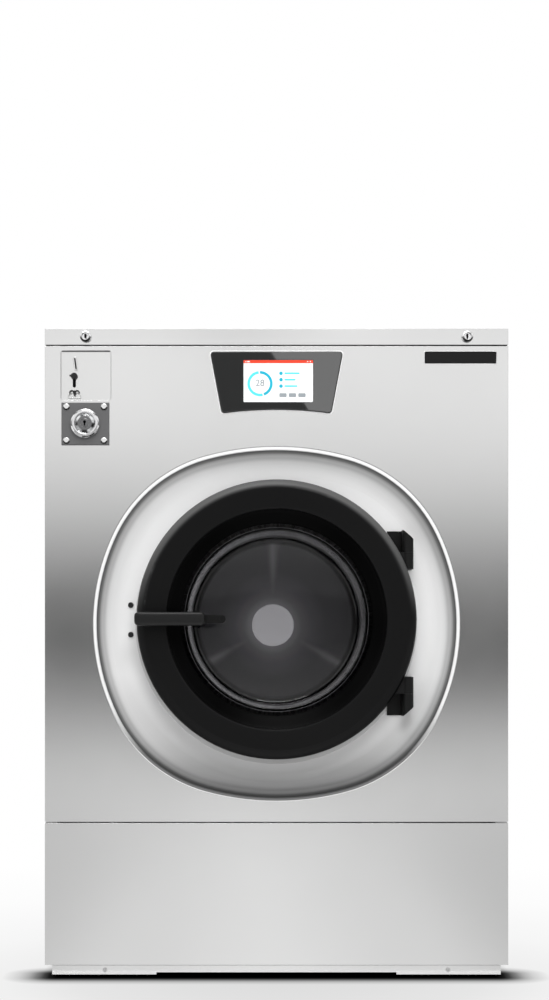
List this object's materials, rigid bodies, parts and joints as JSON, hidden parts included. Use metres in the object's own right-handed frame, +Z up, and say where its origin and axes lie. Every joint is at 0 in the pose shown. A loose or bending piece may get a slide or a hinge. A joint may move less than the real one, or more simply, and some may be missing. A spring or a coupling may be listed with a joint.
{
  "type": "washer extractor",
  "caption": "Floor-standing front-loading washer extractor with a dished door surround, a bowl-glass door, a touch screen, a coin drop, a locking coin box and a top supply dispenser.",
  "frame": {"origin": "on the floor, at the centre of the four anchor bolts", "axes": "+X to the right of a person facing the door, +Y from the front to the back, +Z up"},
  "size_m": [1.054, 1.24, 1.4844],
  "materials": {
    "panel_steel": "fine vertical grain, satin",
    "dish_steel": "pressed, satin",
    "galvanised": "dull zinc coat",
    "frame_paint": "satin powder coat",
    "zinc_screws": "bright",
    "black_screws": "satin black",
    "tub_steel": "mill finish",
    "drum_steel": "polished",
    "hub_steel": "satin",
    "bezel_gloss": "high gloss black",
    "screen_pane": "lit touch screen",
    "dark_plastic": "fine grain black",
    "door_plastic": "soft satin black",
    "grip_plastic": "satin black",
    "lever_paint": "satin black",
    "hinge_paint": "textured black casting",
    "name_plate": "black, blank",
    "coin_plate": "satin",
    "vault_grey": "dark grey, fine texture",
    "lock_chrome": "polished",
    "dark_metal": "black oxide",
    "glass": "clear bowl",
    "rubber": "matt grey black",
    "cast": "as cast, grey",
    "motor_alloy": "die cast",
    "steel_shaft": "ground",
    "bearing_steel": "ground",
    "box_grey": "grey powder coat",
    "white_plastic": "off white",
    "grey_plastic": "mid grey",
    "valve_plastic": "ivory"
  },
  "bodies": {
    "cabinet": {"base_frame": "frame_paint", "tub_supports": "frame_paint", "kick_sill": "panel_steel", "panel_screws": "zinc_screws", "side_panels": "panel_steel", "access_panels": "panel_steel", "rear_panel": "galvanised", "front_panel": "panel_steel", "door_surround": "dish_steel", "lower_front_panel": "panel_steel", "nameplate": "name_plate", "control_bezel": "bezel_gloss", "display_screen": "screen_pane", "display_module": "dark_plastic", "coin_drop_plate": "coin_plate", "coin_acceptor": "grey_plastic", "vault_sleeve": "galvanised", "tub_shell": "tub_steel", "tub_front": "tub_steel", "door_gasket": "rubber", "bearing_housing": "cast", "bearings_and_seal": "bearing_steel", "motor": "motor_alloy", "drive_belts": "rubber", "sump_hose": "rubber", "drain_valve": "valve_plastic", "drain_pipe": "grey_plastic", "inlet_valves": "valve_plastic", "fill_hoses": "rubber", "inverter_box": "box_grey", "terminal_box": "box_grey", "door_lock": "dark_plastic", "hinge_brackets": "hinge_paint", "cover_hinges": "steel_shaft"},
    "cover": {"top_cover": "panel_steel", "dispenser_tub": "white_plastic"},
    "lid": {"dispenser_lid": "white_plastic"},
    "left_cover_lock": {"top_lock_left": "lock_chrome"},
    "right_cover_lock": {"top_lock_right": "lock_chrome"},
    "coin_drawer": {"coin_box": "vault_grey", "coin_box_rivets": "lock_chrome", "vault_lock_case": "lock_chrome"},
    "vault_plug": {"vault_lock_plug": "lock_chrome"},
    "reject_knob": {"coin_reject_lever": "dark_metal"},
    "return_flap": {"coin_return_flap": "dark_metal"},
    "door": {"door_ring": "door_plastic", "door_retainer": "steel_shaft", "door_glass": "glass", "door_hinge_arms": "hinge_paint"},
    "handle": {"door_handle": "grip_plastic", "latch_lever": "lever_paint"},
    "door_bolt": {"lock_bolt": "steel_shaft"},
    "drum": {"drum_shell": "drum_steel", "drum_back": "drum_steel", "drum_front": "drum_steel", "lifters": "drum_steel", "drum_hub_cap": "hub_steel", "drum_trunnion": "steel_shaft", "drum_pulley": "cast"},
    "motor_rotor": {"motor_pulley": "steel_shaft"}
  },
  "joints": [
    {"name": "door_swing", "type": "hinge", "parent": "cabinet", "child": "door", "pos_m": [0.298, -0.548, 0.807], "axis": [0, 0, 1], "range_deg": [0, 150]},
    {"name": "handle_pull", "type": "hinge", "parent": "door", "child": "handle", "pos_m": [-0.292, -0.588, 0.807], "axis": [0, 0, -1], "range_deg": [0, 9], "stiffness_Nm_per_rad": 6, "springref_deg": -2.86},
    {"name": "door_bolt_slide", "type": "slide", "parent": "cabinet", "child": "door_bolt", "axis": [1, 0, 0], "range_m": [0, 0.018]},
    {"name": "cover_tilt", "type": "hinge", "parent": "cabinet", "child": "cover", "pos_m": [0, 0.5564, 1.428], "axis": [-1, 0, 0], "range_deg": [0, 65]},
    {"name": "lid_tilt", "type": "hinge", "parent": "cover", "child": "lid", "pos_m": [0.15, -0.1925, 1.4775], "axis": [-1, 0, 0], "range_deg": [0, 95]},
    {"name": "left_lock_turn", "type": "hinge", "parent": "cover", "child": "left_cover_lock", "pos_m": [-0.4315, -0.55, 1.44675], "axis": [0, 1, 0], "range_deg": [0, 90]},
    {"name": "right_lock_turn", "type": "hinge", "parent": "cover", "child": "right_cover_lock", "pos_m": [0.4315, -0.55, 1.44675], "axis": [0, -1, 0], "range_deg": [0, 90]},
    {"name": "coin_box_slide", "type": "slide", "parent": "cabinet", "child": "coin_drawer", "axis": [0, -1, 0], "range_m": [0, 0.22]},
    {"name": "vault_lock_turn", "type": "hinge", "parent": "coin_drawer", "child": "vault_plug", "pos_m": [-0.433, -0.55, 1.25], "axis": [0, 1, 0], "range_deg": [0, 90]},
    {"name": "reject_push", "type": "slide", "parent": "cabinet", "child": "reject_knob", "axis": [0, 0, -1], "range_m": [0, 0.015], "stiffness_N_per_m": 60, "springref_m": -0.003},
    {"name": "return_flap_swing", "type": "hinge", "parent": "cabinet", "child": "return_flap", "pos_m": [-0.4578, -0.5443, 1.3214], "axis": [1, 0, 0], "range_deg": [0, 50]},
    {"name": "drum_spin", "type": "hinge", "parent": "cabinet", "child": "drum", "pos_m": [0, 0, 0.807], "axis": [0, 1, 0], "continuous": true},
    {"name": "motor_spin", "type": "hinge", "parent": "cabinet", "child": "motor_rotor", "pos_m": [0.32, 0.35, 0.226], "axis": [0, 1, 0], "continuous": true}
  ],
  "couplings": [
    {"joint": "motor_spin", "follows": "drum_spin", "ratio": 4.8571}
  ]
}
